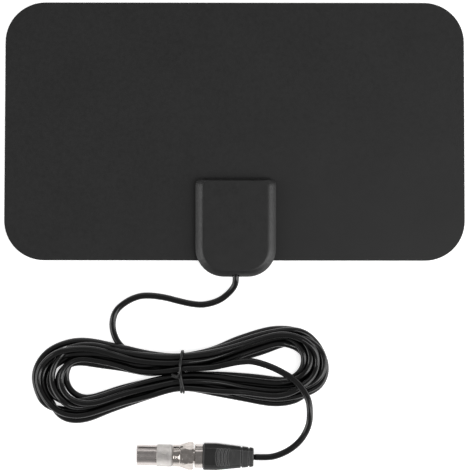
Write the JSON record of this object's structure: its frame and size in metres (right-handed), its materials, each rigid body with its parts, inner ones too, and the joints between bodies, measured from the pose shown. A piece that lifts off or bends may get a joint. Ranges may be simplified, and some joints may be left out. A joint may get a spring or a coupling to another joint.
{
  "type": "indoor tv antenna",
  "caption": "Flat rectangular indoor TV antenna panel with a moulded edge housing, a tied coaxial lead and a screwed-on adapter plug.",
  "frame": {"origin": "centre of the panel and its housing together, on the plane of the housing's back, which is the table", "axes": "+X along the panel's width to the right, +Y up the panel away from the housing's cable end, +Z out of the panel's face"},
  "size_m": [0.213, 0.216, 0.012],
  "materials": {
    "front_sheet": "matt black film with a very fine grain",
    "back_sheet": "matt black film",
    "foil": "bare foil",
    "cover": "moulded black plastic, satin",
    "back_cover": "moulded black plastic, satin",
    "screw": "zinc plated",
    "board": "green solder resist",
    "rivet": "plain brass",
    "ferrite": "dull grey ferrite",
    "copper": "enamelled and bare copper wire",
    "chip": "fired ceramic chip",
    "inductor": "dark ceramic chip",
    "crimp": "tinned sleeve",
    "dielectric": "white polyethylene",
    "jacket": "smooth black PVC with a soft gloss",
    "tie": "black PVC over wire",
    "boot": "moulded black PVC",
    "nickel": "bright nickel on brass",
    "nickel_adapter": "nickel on brass, slightly dull",
    "insulator": "white plastic"
  },
  "bodies": {
    "antenna": {"front_sheet": "front_sheet", "back_sheet": "back_sheet", "left_foil": "foil", "right_foil": "foil", "front_cover": "cover", "back_cover": "back_cover", "housing_screws": "screw", "matching_board": "board", "left_rivet": "rivet", "right_rivet": "rivet", "balun_core": "ferrite", "balun_winding": "copper", "chip_capacitor": "chip", "chip_inductor": "inductor", "coax_crimp": "crimp", "coax_dielectric": "dielectric", "coax_conductor": "copper", "coax_lead": "jacket", "coax_hank": "jacket", "coax_tail": "jacket", "twist_tie": "tie", "plug_boot": "boot", "plug_ferrule": "nickel", "plug_insulator": "insulator", "plug_conductor": "copper"},
    "nut": {"coupling_nut": "nickel"},
    "adapter": {"adapter_body": "nickel_adapter", "iec_sleeve": "nickel_adapter", "adapter_contact": "nickel_adapter", "iec_insulator": "insulator", "f_insulator": "insulator"}
  },
  "joints": [
    {"name": "coupling_nut_turn", "type": "hinge", "parent": "antenna", "child": "nut", "pos_m": [-0.0141, -0.146, 0.006], "axis": [0.9998, -0.0175, 0], "range_deg": [0, 2880]},
    {"name": "adapter_unscrew", "type": "slide", "parent": "antenna", "child": "adapter", "axis": [-0.9998, 0.0175, 0], "range_m": [0, 0.00635]}
  ],
  "couplings": [
    {"joint": "coupling_nut_turn", "follows": "adapter_unscrew", "rad_per_m": 7915.8}
  ]
}
